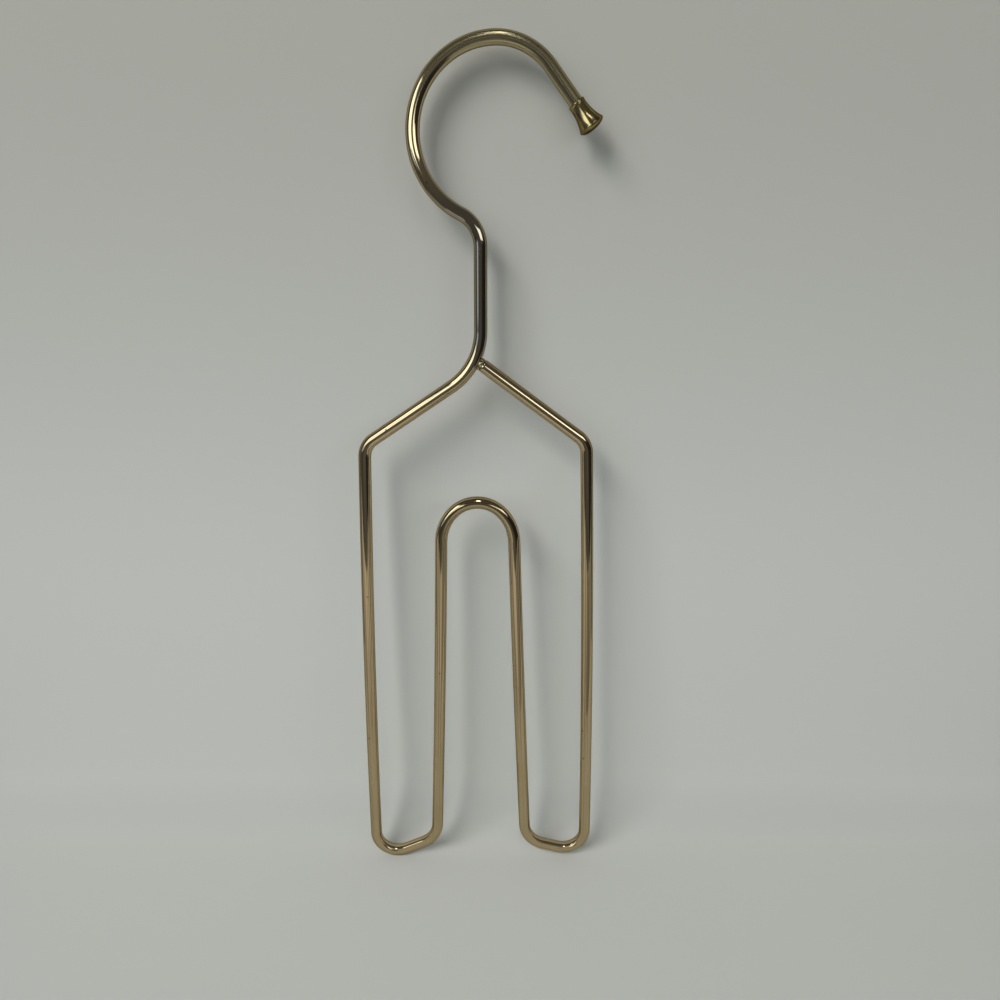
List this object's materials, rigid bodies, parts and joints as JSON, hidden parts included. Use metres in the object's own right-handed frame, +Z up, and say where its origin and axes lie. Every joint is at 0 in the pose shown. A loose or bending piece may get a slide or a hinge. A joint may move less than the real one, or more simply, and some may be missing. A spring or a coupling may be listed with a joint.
{
  "type": "wire hanger",
  "caption": "Flat hanger bent from round gold wire: a closet hook with a flared tip cap, a short neck, and two hanging loops joined by an arch, welded at the neck.",
  "frame": {"origin": "where a closet rod bears inside the top of the hook", "axes": "+Z up as it hangs, front towards -Y, the wire's plane is XZ, and the hook opens towards +X"},
  "size_m": [0.0904, 0.0082, 0.3023],
  "materials": {
    "gold_wire": "bright pale gold plate with fine drawn lines, duller and greyer on the hook",
    "cap_gold": "bright gold plate, a little uneven",
    "weld_metal": "dull, lumpy and darkened by heat, partly plated"
  },
  "bodies": {
    "root": {"bent_wire": "gold_wire", "hook_tip_cap": "cap_gold", "neck_weld": "weld_metal"}
  },
  "joints": []
}
